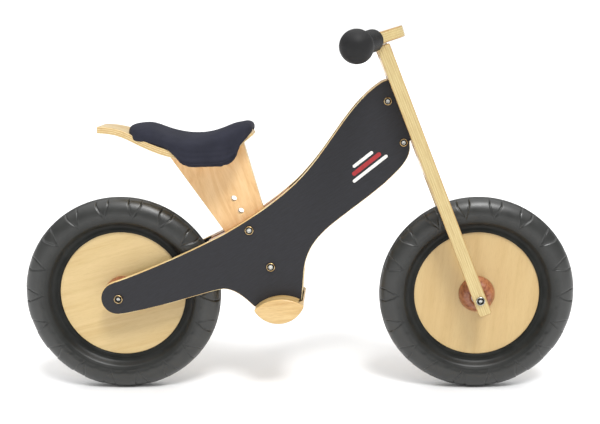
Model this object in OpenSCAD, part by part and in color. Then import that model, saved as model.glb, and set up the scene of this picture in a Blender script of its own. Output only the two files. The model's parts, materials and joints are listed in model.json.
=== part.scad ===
// Wooden balance bike for a small child: two wooden side panels, a swivelling
// wooden fork with a one-piece handlebar, and two plywood disc wheels.
// Origin: on the floor, midway between the two axles. +X forward, +Y left, +Z up.
// Outlines in the side view are lists of [distance ahead of the rear axle, height].

/* [Wheels] */
// Outside diameter of the tyres
wheel_d = 306; // [304:1:308]
// Distance between the two axles
wheelbase = 555; // [554:1:557]
// Width of the tyres
tyre_w = 42; // [38:1:43]
// Diameter of the wooden disc that shows inside the tyre
disc_show_d = 198; // [190:1:204]
// Thickness of the plywood discs
disc_t = 12; // [10:1:14]
// Diameter of the wooden hubs at the disc
hub_d = 57; // [54:1:60]
// Distance from the wheel's middle to a hub's outer face
hub_half = 27; // [26:0.5:27.5]

/* [Frame] */
// Thickness of the two side panels
panel_t = 10; // [8:1:12]
// Half width over the panels at the rear axle
rear_half_w = 39; // [39:0.5:42]
// Half width over the panels at the head
head_half_w = 20.5; // [20:0.5:21]
// Thickness of the seat post board
post_t = 16; // [12:1:18]
// Distance between neighbouring holes in the seat post
hole_pitch = 22; // [20:1:23]
// Width of the footrest across the bike
footrest_w = 112; // [100:2:130]

/* [Fork and handlebar] */
// Lean of the steering axis from the vertical, in degrees
rake = 21.5; // [21.3:0.1:21.7]
// Width of a fork leg seen from the side
leg_w = 20; // [18:1:21]
// Thickness of a fork leg across the bike
leg_t = 15; // [12:1:18]
// Half the clear width between the fork legs
leg_gap = 36; // [36:0.5:38]
// Thickness of the handlebar board
bar_t = 17; // [15:1:19]
// Diameter of the rubber grips
grip_d = 33; // [32:1:36]
// Diameter of the round safety end of each grip
ball_d = 48; // [42:1:50]

/* [Seat] */
// Thickness of the curved plywood seat board
board_t = 10; // [8:1:11]
// Half width of the seat cover
cover_half_w = 70; // [66:1:74]

/* [Hidden] */

$fn = 72;
tiny = 0.1;                // cutters run past a face by this much
axle_h = wheel_d / 2;      // both axles stand one wheel radius above the floor
splay = atan((rear_half_w - head_half_w) / (wheelbase - 125));

// Places along the steering axis, measured up from the front axle
leg_low = -25;             // bottom end of the legs
crown_low = 204.5;         // underside of the lower crown
crown_h = 28;              // height of both crowns along the axis
nose_low = 236;            // bottom of the head block's nose
nose_high = 364;           // top of the head block's nose
flange_t = 2;              // thickness of a bush flange
washer_t = 1.1;            // thickness of the steel thrust washers
gap = 0.3;                 // play between a flange and its washer
crown_high = nose_high + flange_t + gap + washer_t;
bar_s = 416;               // underside of the handlebar on the axis
bar_tilt = 17;             // lean of the handlebar board from the horizontal

// Fastener sizes
axle_d = 8;
bolt_d = 6;
sleeve_d = 9;
steer_d = 8;
fit = 0.1;                 // play on the diameter of a running fit

// Bearing: 8 mm bore, 22 mm outside, 7 mm wide, with seven 4 mm balls
race_w = 7;
race_od = 22;
ball_r = 1.95;
ball_pitch_r = 7.5;
groove_r = 2.03;
ball_n = 7;

// ---------- curves ----------
function bez(a, b, c, d, n = 14) =
    [for (i = [0 : n - 1]) let (u = i / n, v = 1 - u)
        v*v*v*a + 3*v*v*u*b + 3*v*u*u*c + u*u*u*d];
function arc(c, r, from, to, n = 10) =
    [for (i = [0 : n]) c + r * [cos(from + (to - from) * i / n), sin(from + (to - from) * i / n)]];

// Point in the side view at s up the steering axis and t ahead of it
function fork_pt(s, t) =
    [wheelbase - s * sin(rake) + t * cos(rake), axle_h + s * cos(rake) + t * sin(rake)];

// Half width over the panels' outer faces at distance x ahead of the rear axle
function half_w(x) = rear_half_w - x * tan(splay);

// ---------- placing ----------
module at_rear() translate([-wheelbase / 2, 0, 0]) children();
module at_rear_axle() translate([-wheelbase / 2, 0, axle_h]) children();
module at_front_axle() translate([wheelbase / 2, 0, axle_h]) children();
// Along the steering axis: x forward, z up the axis from the front axle
module at_steering() at_front_axle() rotate([0, -rake, 0]) children();
// On the handlebar board's underside: x forward, z up
module at_bar() {
    p = fork_pt(bar_s, 0);
    at_rear() translate([p.x, 0, p.y]) rotate([0, -bar_tilt, 0]) children();
}
// Extrude a side-view outline across the bike, over |y| < w / 2
module across(w) at_rear() rotate([90, 0, 0]) linear_extrude(w, center = true) children();
// Turn a shape made along z so that it points to +Y (left) or -Y (right)
module pointing(side) rotate([-90 * side, 0, 0]) children();
// Mirror a right-hand piece for the left
module sided(side) mirror([0, side > 0 ? 1 : 0, 0]) children();

// ---------- side panels ----------
seat_row = [cos(-61), sin(-61)];           // direction of the row of seat holes
seat_bolt_top = [202, 259];
seat_bolt_pts = [for (k = [0, 3]) seat_bolt_top + k * hole_pitch * seat_row];
// Lower seat heights: each moves the seat down the row and uses two more holes
seat_drops = [30, 30 + hole_pitch];
spare_pts = [for (drop = seat_drops, k = [0, 3]) seat_bolt_top + (k * hole_pitch - drop) * seat_row];
head_bolt_pts = [fork_pt(266, -22), fork_pt(333, -22)];

panel_outline = concat(
    arc([-1.5, 154], 25.5, 281, 108, 16),
    bez([-9.4, 178.25], [28.6, 190.6], [98, 219.5], [163, 253], 10),
    bez([163, 253], [203, 276], [240, 300], [274, 332], 10),
    bez([274, 332], [305, 363], [325, 396], [347, 426], 10),
    bez([347, 426], [366, 452], [384, 472], [409, 487], 16),
    [fork_pt(363, -6), fork_pt(266, -6), fork_pt(264.5, -12)],
    bez([447, 391], [450.5, 367], [431, 351], [409, 330], 12),
    bez([409, 330], [376, 302], [353, 287], [331, 269], 8),
    bez([331, 269], [305, 248], [287, 226], [284.5, 187], 12),
    [[282, 152], [280, 146], [214, 138]],
    bez([208, 138.5], [196, 150], [180, 167], [161, 167], 10),
    bez([161, 167], [140, 165.5], [90, 145], [14, 130.5], 8),
    [[14, 130.5]]
);

// The right-hand panel's plate: its outer face leans in towards the head
module plate(t = panel_t)
    at_rear() translate([0, -rear_half_w, 0]) rotate([0, 0, splay])
        translate([0, t, 0]) rotate([90, 0, 0]) linear_extrude(t) children();

// A hole across the bike
module cross_hole(p, d, from = -60, to = 60)
    at_rear() translate([p.x, from, p.y]) pointing(1) cylinder(h = to - from, d = d);

module frame_panel(side) {
    bolt_hole = side < 0 ? bolt_d + 0.4 : sleeve_d + 0.3;
    difference() {
        sided(side) plate() polygon(panel_outline);
        cross_hole([0, axle_h], axle_d + 0.4);
        for (p = concat(seat_bolt_pts, head_bolt_pts)) cross_hole(p, bolt_hole);
        footrest_screw_holes(3.6);
    }
}
module frame_panel_right() color("#37373b") frame_panel(-1);
module frame_panel_left() color("#37373b") frame_panel(1);

// The wedge of room between the two panels' inner faces
module between_panels(from, to) {
    in = panel_t / cos(splay);
    at_rear() linear_extrude(600)
        polygon([
            [from, -half_w(from) + in], [to, -half_w(to) + in],
            [to, half_w(to) - in], [from, half_w(from) - in]
        ]);
}

// ---------- head ----------
module head_block() color("#d9b77c") difference() {
    union() {
        intersection() {
            across(80) intersection() {
                polygon(panel_outline);
                polygon([fork_pt(380, 20), fork_pt(200, 20), fork_pt(200, -56), fork_pt(380, -56)]);
            }
            between_panels(340, 480);
        }
        at_steering() translate([0, 0, nose_low]) linear_extrude(nose_high - nose_low)
            head_nose_outline();
    }
    at_steering() {
        translate([0, 0, nose_low - tiny]) cylinder(h = 200, d = steer_d + 1);
        translate([0, 0, nose_low - tiny]) cylinder(h = 20 + tiny, d = 12);
        translate([0, 0, nose_high - 20]) cylinder(h = 60, d = 12);
        translate([0, 0, nose_high]) cylinder(h = 60, r = 34);
    }
    for (p = head_bolt_pts) {
        cross_hole(p, bolt_d + 0.4);
        cross_hole(p, sleeve_d + 0.3, 3, 60);
    }
}
// Seen along the steering axis: broad in front of the panels, narrow between them
module head_nose_outline()
    polygon(concat(
        [[-9.5, -9.5], [-6, -9.5], [-6, -16]],
        arc([3, -8], 8, -90, 0, 6),
        arc([3, 8], 8, 0, 90, 6),
        [[-6, 16], [-6, 9.5], [-9.5, 9.5]]
    ));

// Flanged bush; it points up from its flange
module head_bush() difference() {
    union() {
        cylinder(h = flange_t, d = 20);
        cylinder(h = flange_t + 20 - gap, d = 12);
    }
    translate([0, 0, -tiny]) cylinder(h = 30, d = steer_d + fit);
}
module head_bush_upper() color("#e8e6df") at_steering()
    translate([0, 0, nose_high + flange_t]) rotate([180, 0, 0]) head_bush();
module head_bush_lower() color("#e8e6df") at_steering()
    translate([0, 0, nose_low - flange_t]) head_bush();

// ---------- fasteners ----------
// Domed head with a hexagon socket, its flat face on z = 0 and its dome upwards
module cup_head(d, h, key) {
    r = (d * d / 4 + h * h) / (2 * h);
    difference() {
        intersection() {
            translate([0, 0, h - r]) sphere(r);
            cylinder(h = h + 1, d = d);
        }
        translate([0, 0, h * 0.35]) cylinder(h = h, d = key / cos(30), $fn = 6);
    }
}
// Screw whose head lies on z = 0 and whose shank runs down from it
module cup_screw(head_d, head_h, key, shank_d, shank_l) {
    cup_head(head_d, head_h, key);
    translate([0, 0, -shank_l]) cylinder(h = shank_l, d = shank_d);
}
// Sleeve nut: the same head on a tube that takes the screw's end
module sleeve_nut(head_d, head_h, key, tube_d, tube_l, bore_d) difference() {
    cup_screw(head_d, head_h, key, tube_d, tube_l);
    translate([0, 0, -tube_l - tiny]) cylinder(h = tube_l - 2, d = bore_d);
}
// Place a screw's head just proud of a panel's outer face at p
module on_panel(p, side)
    at_rear() translate([p.x, side * (half_w(p.x) + 0.35), p.y]) pointing(side) children();

module head_bolts() color("#c8a466")
    for (p = head_bolt_pts) on_panel(p, -1) cup_screw(12.5, 3, 4, bolt_d, 30);
module head_bolt_nuts() color("#c8a466")
    for (p = head_bolt_pts) on_panel(p, 1) sleeve_nut(12.5, 3, 4, sleeve_d, 16, bolt_d + fit);
module seat_bolts() color("#c8a466")
    for (p = seat_bolt_pts) on_panel(p, -1) cup_screw(14, 3.4, 5, bolt_d, 46);
module seat_bolt_nuts() color("#c8a466")
    for (p = seat_bolt_pts) on_panel(p, 1) sleeve_nut(14, 3.4, 5, sleeve_d, 19, bolt_d + fit);

// ---------- seat ----------
// Underside of the seat board, from the tail to the raised front
board_path = concat(
    bez([-25, 407], [10, 407], [25, 395], [48, 387], 10),
    bez([48, 387], [75, 377.5], [95, 371], [125, 370], 8),
    bez([125, 370], [160, 368.5], [176, 374], [192, 389], 8),
    bez([192, 389], [199, 395.5], [204, 400], [210, 404], 4),
    [[210, 404]]
);
// The same path moved up by the thickness, square to the path
function offset_path(path, t) = [
    for (i = [0 : len(path) - 1])
        let (a = path[max(i - 1, 0)], b = path[min(i + 1, len(path) - 1)], d = (b - a) / norm(b - a))
        path[i] + t * [-d.y, d.x]
];
function reversed(list) = [for (i = [len(list) - 1 : -1 : 0]) list[i]];

board_outline = concat(board_path, reversed(offset_path(board_path, board_t)));
above_board = concat(board_path, [[240, 500], [-60, 500]]);

// Half outlines seen from above, from the tail to the front: the board, and the
// saddle-shaped cover, which "inset" draws in all round
board_plan = concat(
    arc([-18, 16], 14, 180, 90, 6),
    bez([0, 31], [40, 36], [58, 60], [100, 60], 10),
    bez([100, 60], [150, 60], [150, 34], [194, 28], 10),
    arc([198, 13], 15, 90, 0, 6)
);
function cover_plan(inset = 0) = let (w = cover_half_w - inset) concat(
    bez([20 + inset, 0], [20 + inset, 30 - inset], [32, 50 - inset], [56, 55 - inset], 10),
    bez([56, 55 - inset], [76, 60 - inset], [80, w], [110, w], 10),
    bez([110, w], [158, w], [158, 44 - inset], [196 - inset, 37 - inset], 10),
    bez([196 - inset, 37 - inset], [206 - inset, 34 - inset], [210 - inset, 18], [210 - inset, 0], 8)
);
function both_sides(half) = concat(half, [for (p = reversed(half)) [p.x, -p.y]]);
module from_above(low, high) at_rear() translate([0, 0, low]) linear_extrude(high - low) children();

module seat_board() color("#e3c48c") difference() {
    seat_board_blank();
    for (p = board_screw_pts) at_rear() translate([p.x, p.y, 340]) cylinder(h = 38.5, d = 4.4);
}

post_outline = [[68, 386.4], [186, 218], [206, 191], [212, 184], [222, 180],
    [240, 181], [248, 186], [250, 192], [221, 292], [193, 392]];
module seat_post() color("#dcb27a") difference() {
    across(post_t) difference() {
        polygon(post_outline);
        polygon(above_board);
    }
    for (p = concat(seat_bolt_pts, spare_pts)) cross_hole(p, sleeve_d);
}

// Tapered packing between the post and a panel, level with the panel's top edge
module seat_spacer(side) difference() {
    intersection() {
        across(100) intersection() {
            polygon(panel_outline);
            polygon([[138, 300], [138, 232], [196, 176], [262, 176], [262, 340]]);
        }
        between_panels(100, 300);
    }
    at_rear() translate([0, side < 0 ? -post_t / 2 : -100, 0]) cube([400, 100 + post_t / 2, 500]);
    for (p = seat_bolt_pts) cross_hole(p, side < 0 ? bolt_d + 0.4 : sleeve_d + 0.3);
}
module seat_spacer_right() color("#a9743f") seat_spacer(-1);
module seat_spacer_left() color("#a9743f") seat_spacer(1);

// Blocks screwed to the seat board on each side of the post
module seat_cleats() color("#d9b77c") difference() {
    across(60) difference() {
        polygon([[108, 359.5], [160, 359.5], [170, 367], [170, 420], [100, 420], [100, 367]]);
        polygon(above_board);
    }
    at_rear() translate([0, -post_t / 2, 300]) cube([400, post_t, 200]);
    for (p = board_screw_pts) at_rear() translate([p.x, p.y, 340]) cylinder(h = 80, d = 4.4);
}
board_screw_pts = [for (x = [112, 156], side = [-1, 1]) [x, side * 19]];
module seat_board_screws() color("silver")
    for (p = board_screw_pts) at_rear() translate([p.x, p.y, 359.1]) rotate([180, 0, 0])
        cup_screw(8, 2.2, 3, 4, 18);

// Side view of the padded cover: along its crown, then back under its side flaps
crown_path = concat(
    bez([19, 402], [19, 420], [30, 423.5], [42, 423], 8),
    bez([42, 423], [70, 421], [84, 406], [121, 405.5], 10),
    bez([121, 405.5], [152, 405], [170, 425], [192, 425.5], 10),
    bez([192, 425.5], [203, 426], [211, 421], [210, 414], 6)
);
cover_outline = concat(
    crown_path,
    bez([210, 414], [199, 402], [192, 396], [190, 388], 8),
    bez([190, 388], [187, 366], [172, 360], [156, 360], 8),
    bez([156, 360], [128, 360], [110, 357], [102, 369], 8),
    bez([102, 369], [90, 386], [76, 391], [54, 400], 6)
);
// The pad's room: under the cover's skin and over the seat board
skin = 5;
pad_outline = concat(
    [[30, 300]],
    [for (p = crown_path) if (p.x > 30 && p.x < 200) p - [0, skin]],
    [[200, 300]]
);
module seat_board_blank() intersection() {
    across(200) polygon(board_outline);
    from_above(340, 450) polygon(both_sides(board_plan));
}
module pad_room() intersection() {
    across(200) polygon(pad_outline);
    from_above(300, 450) polygon(both_sides(cover_plan(skin)));
}
module seat_cover() color("#3b3c46") difference() {
    intersection() {
        across(200) polygon(cover_outline);
        from_above(340, 440) polygon(both_sides(cover_plan()));
    }
    pad_room();
    seat_board_blank();
}
module seat_foam() color("#c9c6bd") intersection() {
    across(200) difference() {
        polygon(pad_outline);
        polygon(concat([[-60, 300]], offset_path(board_path, board_t), [[260, 300]]));
    }
    from_above(300, 450) polygon(both_sides(cover_plan(skin)));
}

// ---------- footrest ----------
// Lens-shaped section: a flat arc over a deeper one, its chord rising to the front
foot_mid = [247.5, 142.5];
foot_half = 38.5;
foot_rise = 5;
function sag_arc(sag, n = 16) =
    let (r = (foot_half * foot_half + sag * sag) / (2 * sag), half = asin(foot_half / r))
    [for (i = [0 : n - 1]) let (a = -half + 2 * half * i / n) [r * sin(a), r * cos(a) - r + sag]];
foot_outline = concat(sag_arc(14), [for (p = sag_arc(25)) -p]);

module footrest() color("#e0bf84") difference() {
    across(footrest_w) translate(foot_mid) rotate(foot_rise) polygon(foot_outline);
    for (side = [-1, 1]) sided(side) plate() polygon(panel_outline);
    footrest_screw_holes(4.2);
    for (p = foot_screw_pts) at_rear() translate([p.x, p.y, 100]) cylinder(h = 22.4, d = 8.6);
}
foot_screw_pts = [for (x = [232, 264], side = [-1, 1]) [x, side * (half_w(x) - panel_t / 2)]];
module footrest_screw_holes(d)
    for (p = foot_screw_pts) at_rear() translate([p.x, p.y, 100]) cylinder(h = 71, d = d);
module footrest_screws() color("silver")
    for (p = foot_screw_pts) at_rear() translate([p.x, p.y, 119.5]) {
        cylinder(h = 50, d = 3.6);
        cylinder(h = 2.6, d1 = 8, d2 = 3.6);
    }

// ---------- axles and bearings ----------
module axle_rod(half_l) difference() {
    rotate([90, 0, 0]) cylinder(h = 2 * half_l, d = axle_d, center = true);
    for (side = [-1, 1]) translate([0, side * (half_l + tiny), 0]) pointing(-side)
        cylinder(h = 18 + tiny, d = 5);
}
module axle_bolt_pair(face) for (side = [-1, 1])
    translate([0, side * face, 0]) pointing(side) cup_screw(14, 3.4, 5, 5, 16);
module spacer_pair(from, to) for (side = [-1, 1])
    translate([0, side * from, 0]) pointing(side) difference() {
        cylinder(h = to - from, d = 12);
        translate([0, 0, -tiny]) cylinder(h = to - from + 2 * tiny, d = axle_d);
    }
// Place a bearing part on each side, its middle at the hub's outer end
module bearing_pair() for (side = [-1, 1])
    translate([0, side * (hub_half - race_w / 2), 0]) rotate([90, 0, 0]) children();
module ball_groove() rotate_extrude() translate([ball_pitch_r, 0]) circle(groove_r, $fn = 48);
module race(inner_d, outer_d) difference() {
    cylinder(h = race_w, d = outer_d, center = true);
    cylinder(h = race_w + 1, d = inner_d, center = true);
    ball_groove();
}
module inner_races() bearing_pair() race(axle_d, 12.2);
module outer_races() bearing_pair() race(17.8, race_od);
module balls() bearing_pair()
    for (i = [0 : ball_n - 1]) rotate(i * 360 / ball_n) translate([ball_pitch_r, 0, 0])
        sphere(ball_r, $fn = 32);
// Thin rings that close the gap between the races on the outer side
module shields() for (side = [-1, 1]) translate([0, side * (hub_half - 0.6), 0]) pointing(side)
    difference() {
        cylinder(h = 0.6, d = 17.7);
        translate([0, 0, -tiny]) cylinder(h = 1, d = 12.8);
    }

rear_face = rear_half_w + 0.35;
front_face = leg_gap + leg_t + 0.05;
module rear_axle() color("silver") at_rear_axle() axle_rod(rear_half_w - 1);
module rear_axle_bolts() color("#c8a466") at_rear_axle() axle_bolt_pair(rear_face);
module rear_axle_spacers() color("silver") at_rear_axle()
    spacer_pair(hub_half, rear_half_w - panel_t / cos(splay) - 6 * tan(splay));
module rear_bearing_inner_races() color("silver") at_rear_axle() inner_races();
module front_axle() color("silver") at_front_axle() axle_rod(leg_gap + leg_t - 1);
module front_axle_bolts() color("silver") at_front_axle() axle_bolt_pair(front_face);
module front_axle_spacers() color("silver") at_front_axle() spacer_pair(hub_half, leg_gap);
module front_bearing_inner_races() color("silver") at_front_axle() inner_races();

// ---------- wheels ----------
tyre_r = wheel_d / 2;
show_r = disc_show_d / 2;
disc_r = show_r + 6;                       // the tyre's groove holds the disc's rim
// Half of the tyre's round section, from the lip on the disc out to the tread
module tyre_section() {
    lip = disc_t / 2 + 3.5;
    mid_r = 127;
    polygon(concat(
        [[show_r - 1, -lip + 2.5], [show_r - 1, -disc_t / 2], [disc_r, -disc_t / 2]],
        [[disc_r, disc_t / 2], [show_r - 1, disc_t / 2], [show_r - 1, lip - 2.5]],
        bez([show_r + 1.5, lip], [show_r + 8, lip + 3], [mid_r - 14, tyre_w / 2], [mid_r, tyre_w / 2], 8),
        bez([mid_r, tyre_w / 2], [mid_r + 13, tyre_w / 2], [tyre_r, 13], [tyre_r, 0], 12),
        bez([tyre_r, 0], [tyre_r, -13], [mid_r + 13, -tyre_w / 2], [mid_r, -tyre_w / 2], 12),
        bez([mid_r, -tyre_w / 2], [mid_r - 14, -tyre_w / 2], [show_r + 8, -lip - 3], [show_r + 1.5, -lip], 8),
        [[show_r + 1.5, -lip]]
    ));
}
core_r = 126;                              // middle of the foam core in the tyre
module wheel_turn() rotate([90, 0, 0]) rotate_extrude($fn = 120) children();
module tyre() wheel_turn() difference() {
    tyre_section();
    translate([core_r, 0]) circle(15, $fn = 40);
}
module tyre_core() wheel_turn() translate([core_r, 0]) circle(15, $fn = 40);
module disc() rotate([90, 0, 0]) difference() {
    cylinder(h = disc_t, r = disc_r, center = true, $fn = 120);
    cylinder(h = disc_t + 1, d = axle_d + 4, center = true);
}
// Domed hub, turned from wood, with the bearing seat in its outer end
module hub(side) translate([0, side * disc_t / 2, 0]) pointing(side) {
    h = hub_half - disc_t / 2;
    rotate_extrude() polygon(concat(
        [[axle_d / 2 + 2, 0], [hub_d / 2, 0], [hub_d / 2, 2]],
        bez([hub_d / 2, 2], [hub_d / 2 - 1, 11], [hub_d / 2 - 8, h], [15, h], 12),
        [[15, h], [race_od / 2, h], [race_od / 2, h - race_w], [axle_d / 2 + 2, h - race_w]]
    ));
}

module rear_tyre() color("#3a3b3a") at_rear_axle() tyre();
module rear_tyre_core() color("#55565a") at_rear_axle() tyre_core();
module rear_disc() color("#dfc692") at_rear_axle() disc();
module rear_hub_right() color("#96593a") at_rear_axle() hub(-1);
module rear_hub_left() color("#96593a") at_rear_axle() hub(1);
module rear_bearing_outer_races() color("silver") at_rear_axle() outer_races();
module rear_bearing_balls() color("silver") at_rear_axle() balls();
module rear_bearing_shields() color("#2b2b2b") at_rear_axle() shields();
module front_tyre() color("#3a3b3a") at_front_axle() tyre();
module front_tyre_core() color("#55565a") at_front_axle() tyre_core();
module front_disc() color("#dfc692") at_front_axle() disc();
module front_hub_right() color("#96593a") at_front_axle() hub(-1);
module front_hub_left() color("#96593a") at_front_axle() hub(1);
module front_bearing_outer_races() color("silver") at_front_axle() outer_races();
module front_bearing_balls() color("silver") at_front_axle() balls();
module front_bearing_shields() color("#2b2b2b") at_front_axle() shields();

// ---------- fork ----------
leg_mid = leg_gap + leg_t / 2;
// Side view of a leg along the steering axis, with a rounded lower end
module leg_outline() polygon(concat(
    arc([-leg_w / 2 + 4, leg_low + 4], 4, 180, 270, 5),
    arc([leg_w / 2 - 4, leg_low + 4], 4, 270, 360, 5),
    [[leg_w / 2, bar_s + 20], [-leg_w / 2, bar_s + 20]]
));
module fork_leg(side) difference() {
    at_steering() translate([0, side * leg_mid, 0]) rotate([90, 0, 0])
        linear_extrude(leg_t, center = true) leg_outline();
    at_bar() translate([-100, -100, -bar_gap]) cube([200, 200, 60]);
    at_front_axle() rotate([90, 0, 0]) cylinder(h = 200, d = axle_d + fit, center = true);
    dowels(8);
    bar_screw_holes(4);
}
module fork_leg_right() color("#e6d3a0") fork_leg(-1);
module fork_leg_left() color("#e6d3a0") fork_leg(1);

module fork_crown(low) difference() {
    at_steering() translate([-leg_w / 2, -leg_gap, low]) cube([leg_w, 2 * leg_gap, crown_h]);
    at_steering() cylinder(h = 600, d = steer_d + fit);
    dowels(8);
}
module fork_crown_upper() color("#e6d3a0") fork_crown(crown_high);
module fork_crown_lower() color("#e6d3a0") fork_crown(crown_low);

// Pegs that join each crown to the legs, two to a joint, stopped short outside
module dowels(d) at_steering()
    for (low = [crown_low, crown_high], up = [7, crown_h - 7], side = [-1, 1])
        translate([0, side * 16, low + up]) pointing(side) cylinder(h = 28, d = d);
module crown_dowels() color("#caa56a") dowels(7.9);

// Board that joins the legs: broad and bowed forward over them, swept back at its ends
bar_root = [-12, 62];                      // start of the straight handle, [forward, side]
sweep = 16;                                // how far a handle leans back, in degrees
handle_l = 82;
handle_half = 12;
handle_dir = [-sin(sweep), cos(sweep)];
handle_side = [cos(sweep), sin(sweep)];
module bar_half() polygon(concat(
    bez([38, 0], [38, 30], [13, 40], bar_root + handle_half * handle_side, 12),
    [bar_root + handle_half * handle_side, bar_root + handle_half * handle_side + handle_l * handle_dir,
     bar_root - handle_half * handle_side + handle_l * handle_dir],
    bez(bar_root - handle_half * handle_side, [-16, 45], [-13, 25], [-13, 0], 8),
    [[-13, 0], [-13, -1], [38, -1]]
));
module handlebar() color("#e6d3a0") difference() {
    at_bar() linear_extrude(bar_t) {
        bar_half();
        mirror([0, 1]) bar_half();
    }
    bar_screw_holes(5);
}
// Wood screws down through the handlebar into the legs
module at_bar_screws() for (side = [-1, 1]) at_bar() translate([0, side * leg_mid, 0]) children();
bar_gap = 2.5;                             // the board stands off the legs on washers
screw_in = 19;                             // how far its screws reach below it
module bar_screw_holes(d) at_bar_screws() {
    translate([0, 0, -screw_in - 1]) cylinder(h = 100, d = d);
    translate([0, 0, bar_t - 3]) cylinder(h = 20, d = 10);
}
module handlebar_screws() color("silver") at_bar_screws() {
    translate([0, 0, -screw_in]) cylinder(h = screw_in + bar_t - 2.8, d = 3.9);
    translate([0, 0, bar_t - 2.9]) cup_head(9.6, 2.6, 4);
}

module handlebar_spacers() color("#e8e6df") at_bar_screws() translate([0, 0, -bar_gap])
    difference() {
        cylinder(h = bar_gap, d = 13);
        translate([0, 0, -tiny]) cylinder(h = bar_gap + 2 * tiny, d = 4.2);
    }

// Rubber grip over a handle, with a round safety end
ball_at = 93;                              // from the grip's inner end to the ball's middle
module grip(side) at_bar() sided(side)
    translate([bar_root.x, -bar_root.y, bar_t / 2]) rotate([90, 0, -sweep]) difference() {
        union() {
            cylinder(h = ball_at, d = grip_d);
            translate([0, 0, ball_at]) sphere(d = ball_d, $fn = 96);
        }
        translate([-handle_half, -bar_t / 2, -tiny]) cube([2 * handle_half, bar_t, handle_l + 1]);
    }
module grip_right() color("#2f2f30") grip(-1);
module grip_left() color("#2f2f30") grip(1);

// Steering pivot: a long bolt down through both crowns and the bushed head
washer_d = 20;
module steering_bolt() color("silver") at_steering() {
    translate([0, 0, crown_high + crown_h + 1.6]) cup_head(13, 5, 5);
    translate([0, 0, crown_low - 14]) cylinder(h = crown_high + crown_h + 1.7 - crown_low + 14, d = steer_d);
}
module steering_nut() color("silver") at_steering() translate([0, 0, crown_low - 9.6])
    difference() {
        cylinder(h = 8, d = 13 / cos(30), $fn = 6);
        translate([0, 0, -tiny]) cylinder(h = 9, d = steer_d);
    }
module steering_washers() color("silver") at_steering() {
    washer(crown_low - 1.6, 1.6);
    washer(crown_low + crown_h, washer_t);
    washer(crown_high - washer_t, washer_t);
    washer(crown_high + crown_h, 1.6);
}
module washer(low, h) translate([0, 0, low]) difference() {
    cylinder(h = h, d = washer_d);
    translate([0, 0, -tiny]) cylinder(h = h + 2 * tiny, d = steer_d + fit);
}

frame_panel_right();
frame_panel_left();
head_block();
head_bush_upper();
head_bush_lower();
head_bolts();
head_bolt_nuts();
seat_post();
seat_spacer_right();
seat_spacer_left();
seat_cleats();
seat_board();
seat_board_screws();
seat_foam();
seat_cover();
seat_bolts();
seat_bolt_nuts();
footrest();
footrest_screws();
rear_axle();
rear_axle_bolts();
rear_axle_spacers();
rear_bearing_inner_races();
rear_tyre();
rear_tyre_core();
rear_disc();
rear_hub_right();
rear_hub_left();
rear_bearing_outer_races();
rear_bearing_balls();
rear_bearing_shields();
fork_leg_right();
fork_leg_left();
fork_crown_upper();
fork_crown_lower();
crown_dowels();
handlebar();
handlebar_screws();
handlebar_spacers();
grip_right();
grip_left();
steering_bolt();
steering_nut();
steering_washers();
front_axle();
front_axle_bolts();
front_axle_spacers();
front_bearing_inner_races();
front_tyre();
front_tyre_core();
front_disc();
front_hub_right();
front_hub_left();
front_bearing_outer_races();
front_bearing_balls();
front_bearing_shields();
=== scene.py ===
# %% [markdown]
# # A small wooden balance bike
# This lesson dresses a finished mechanical model in its real surfaces: stained and bare
# plywood, turned hubs, ribbed rubber, plated screws and a sewn saddle.
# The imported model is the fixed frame. Every new piece takes its place from the frame's
# boxes and joints, so nothing has to be fitted by eye.

# %% Load the frame
import json
import math

import bmesh
import bpy
import numpy as np
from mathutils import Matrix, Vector
from mathutils.bvhtree import BVHTree


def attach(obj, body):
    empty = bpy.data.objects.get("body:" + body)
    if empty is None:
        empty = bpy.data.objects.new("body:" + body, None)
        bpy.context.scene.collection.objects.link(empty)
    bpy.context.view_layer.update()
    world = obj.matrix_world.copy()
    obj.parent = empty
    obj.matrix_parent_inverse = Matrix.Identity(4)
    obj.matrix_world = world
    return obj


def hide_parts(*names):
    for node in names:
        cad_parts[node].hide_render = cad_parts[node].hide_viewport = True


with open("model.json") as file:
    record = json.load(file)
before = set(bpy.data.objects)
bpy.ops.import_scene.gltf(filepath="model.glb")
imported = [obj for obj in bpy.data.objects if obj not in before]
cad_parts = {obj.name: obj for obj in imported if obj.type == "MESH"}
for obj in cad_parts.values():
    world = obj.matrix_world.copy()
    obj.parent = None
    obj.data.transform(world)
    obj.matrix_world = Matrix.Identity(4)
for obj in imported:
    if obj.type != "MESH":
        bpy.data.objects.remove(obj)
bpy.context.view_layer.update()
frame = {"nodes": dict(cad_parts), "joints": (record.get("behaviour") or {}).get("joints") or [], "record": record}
nodes = frame["nodes"]
joints = {joint["name"]: joint for joint in frame["joints"]}

# %% [markdown]
# ## The camera
# The bike is seen from its right side and a little above the hubs' height, with a
# long lens, so the wheels stay round. The small shift frames the bike without turning the
# camera, which would make the fork lean more on one side.

# %% Camera
lens_mm = 58.85
look_down_deg = 10.165
camera_data = bpy.data.cameras.new("side_view")
camera_data.sensor_width = 36.0
camera_data.lens = lens_mm
camera_data.shift_x = -0.0752
camera = bpy.data.objects.new("side_view", camera_data)
camera.location = (0.071, -1.5, 0.551)
camera.rotation_euler = (math.radians(90 - look_down_deg), 0.0, 0.0)
bpy.context.scene.collection.objects.link(camera)
bpy.context.scene.camera = camera
print("camera: lens", lens_mm, "mm,", -camera.location.y, "m away")

# %% [markdown]
# ## Floor and light
# A product like this is shown on white card that runs far back, under one very large
# soft lamp. The sky here is that lamp: bright overhead, dim at the sides and white at the
# horizon, where the card ends. A broad sun from above and in front gives the soft
# shadow that the frame throws on the wheel discs. The plain display transform is chosen
# because it shows each paint and wood at its own hex colour.

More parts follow.
